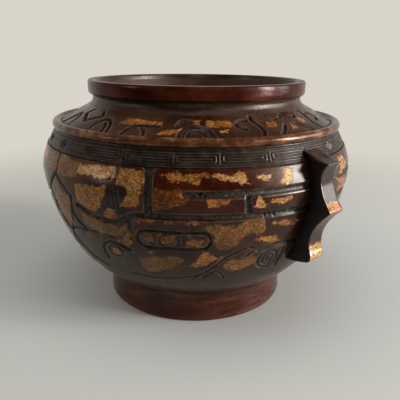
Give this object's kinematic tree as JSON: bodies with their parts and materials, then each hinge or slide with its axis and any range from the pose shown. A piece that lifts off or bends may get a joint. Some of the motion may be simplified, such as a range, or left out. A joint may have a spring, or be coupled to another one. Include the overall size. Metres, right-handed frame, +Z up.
{
  "type": "bronze bowl",
  "caption": "Round-bellied cast bronze bowl with foot ring, beaded shoulder, upright rim, scalloped flange handles and a mask relief in panels and channels.",
  "frame": {"origin": "middle of the foot ring's underside, on the surface the bowl stands on", "axes": "+Z up along the bowl's axis, X through the two handles, the relief's two masks face -Y and +Y"},
  "size_m": [0.192, 0.1698, 0.1215],
  "materials": {
    "bronze": "dark red-brown patinated bronze, gilt worn in patches over the relief"
  },
  "bodies": {
    "root": {"bowl": "bronze"}
  },
  "joints": []
}
